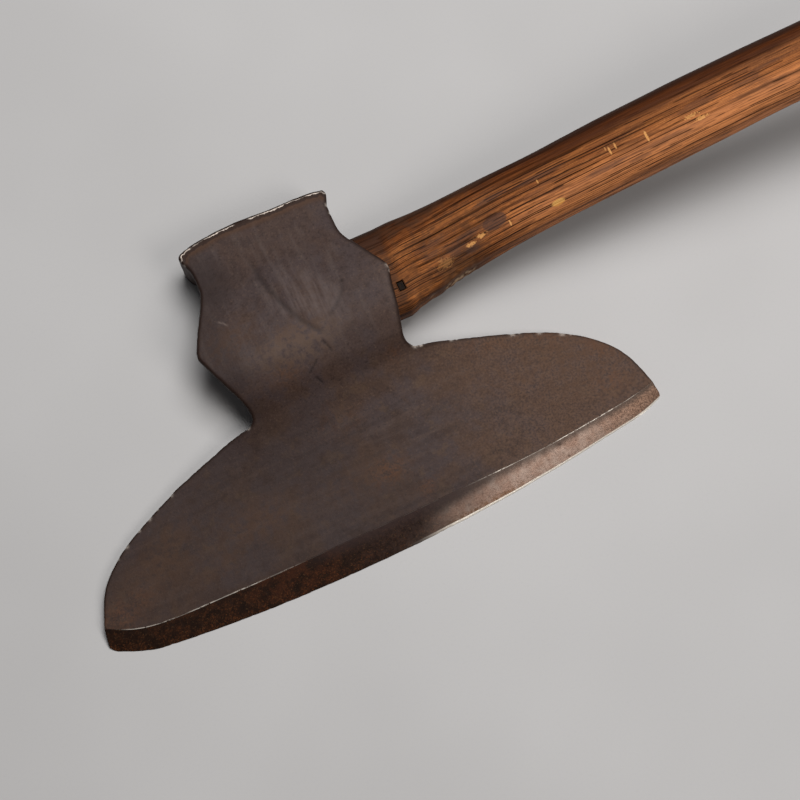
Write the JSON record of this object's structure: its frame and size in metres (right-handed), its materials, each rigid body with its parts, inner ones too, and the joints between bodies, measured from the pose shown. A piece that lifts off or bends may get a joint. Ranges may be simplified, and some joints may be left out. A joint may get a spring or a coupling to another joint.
{
  "type": "broad axe",
  "caption": "Single-bevel broad axe for hewing timber: wide flat-sided forged head with a straight poll and eared eye, wedged on an upswept wooden haft.",
  "frame": {"origin": "centre of the eye, projected square onto the flat side of the head", "axes": "+X runs along the haft away from the head, +Y from the eye to the poll (the cutting edge is at -Y), +Z away from the flat side, towards the bevelled face"},
  "size_m": [0.7486, 0.1949, 0.0879],
  "materials": {
    "forged_iron": "satin brown patina",
    "bit_steel": "worn, lightly rusted grind",
    "haft_wood": "oiled, handled, open grain",
    "wedge_wood": "dry end grain",
    "wedge_iron": "rusty black",
    "nail_iron": "rusty black"
  },
  "bodies": {
    "root": {"head_body": "forged_iron", "steel_bit": "bit_steel", "haft": "haft_wood", "wooden_wedge": "wedge_wood", "iron_cross_wedges": "wedge_iron", "cut_nail": "nail_iron"}
  },
  "joints": []
}
